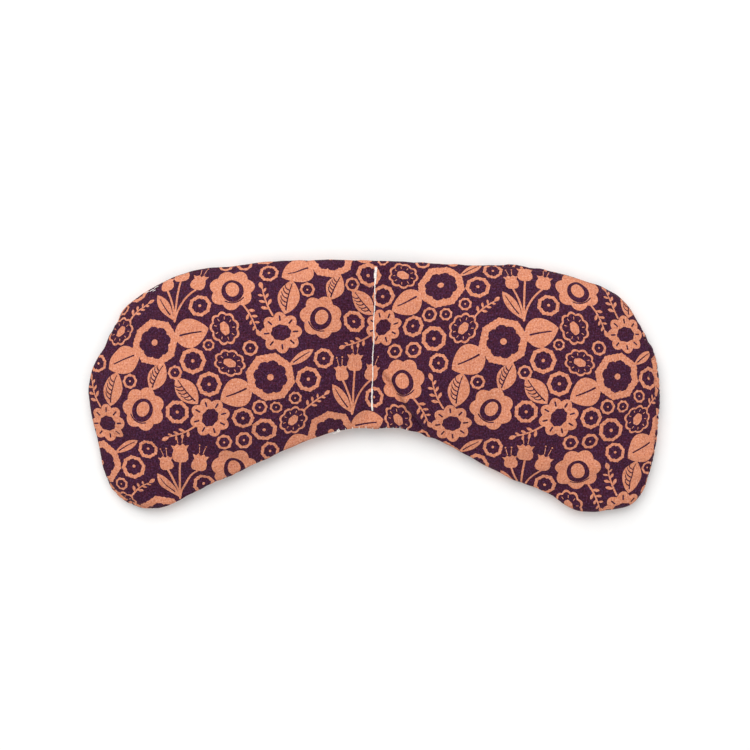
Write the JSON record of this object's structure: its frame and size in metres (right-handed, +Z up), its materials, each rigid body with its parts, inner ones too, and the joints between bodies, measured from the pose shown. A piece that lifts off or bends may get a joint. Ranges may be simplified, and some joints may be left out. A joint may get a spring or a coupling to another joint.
{
  "type": "eye pillow",
  "caption": "Shaped cloth eye pillow with a nose notch: printed cotton round two seed-filled lobes, sewn together down the middle so that it folds there.",
  "frame": {"origin": "on the table, under the middle of the box round the pillow as it lies flat with its front up", "axes": "+X to the object's right as its front is looked down on with the brow edge at the top, +Y to the brow edge, away from the nose notch, +Z up out of the front"},
  "size_m": [0.2301, 0.1019, 0.0206],
  "materials": {
    "printed_cotton": "matte",
    "flaxseed": "satin",
    "seam_thread": "matte",
    "pale_thread": "matte"
  },
  "bodies": {
    "left_lobe": {"front_panel_left": "printed_cotton", "back_panel_left": "printed_cotton", "seed_fill_left": "flaxseed", "edge_needle_thread_left": "seam_thread", "edge_bobbin_thread_left": "seam_thread", "closing_thread_left": "pale_thread", "centre_needle_thread": "pale_thread", "centre_bobbin_thread": "pale_thread"},
    "right_lobe": {"front_panel_right": "printed_cotton", "back_panel_right": "printed_cotton", "seed_fill_right": "flaxseed", "edge_needle_thread_right": "seam_thread", "edge_bobbin_thread_right": "seam_thread", "closing_thread_right": "pale_thread"}
  },
  "joints": [
    {"name": "centre_fold", "type": "hinge", "parent": "left_lobe", "child": "right_lobe", "pos_m": [0.0004, 0, 0.007], "axis": [0, -1, 0], "range_deg": [-100, 100]}
  ]
}
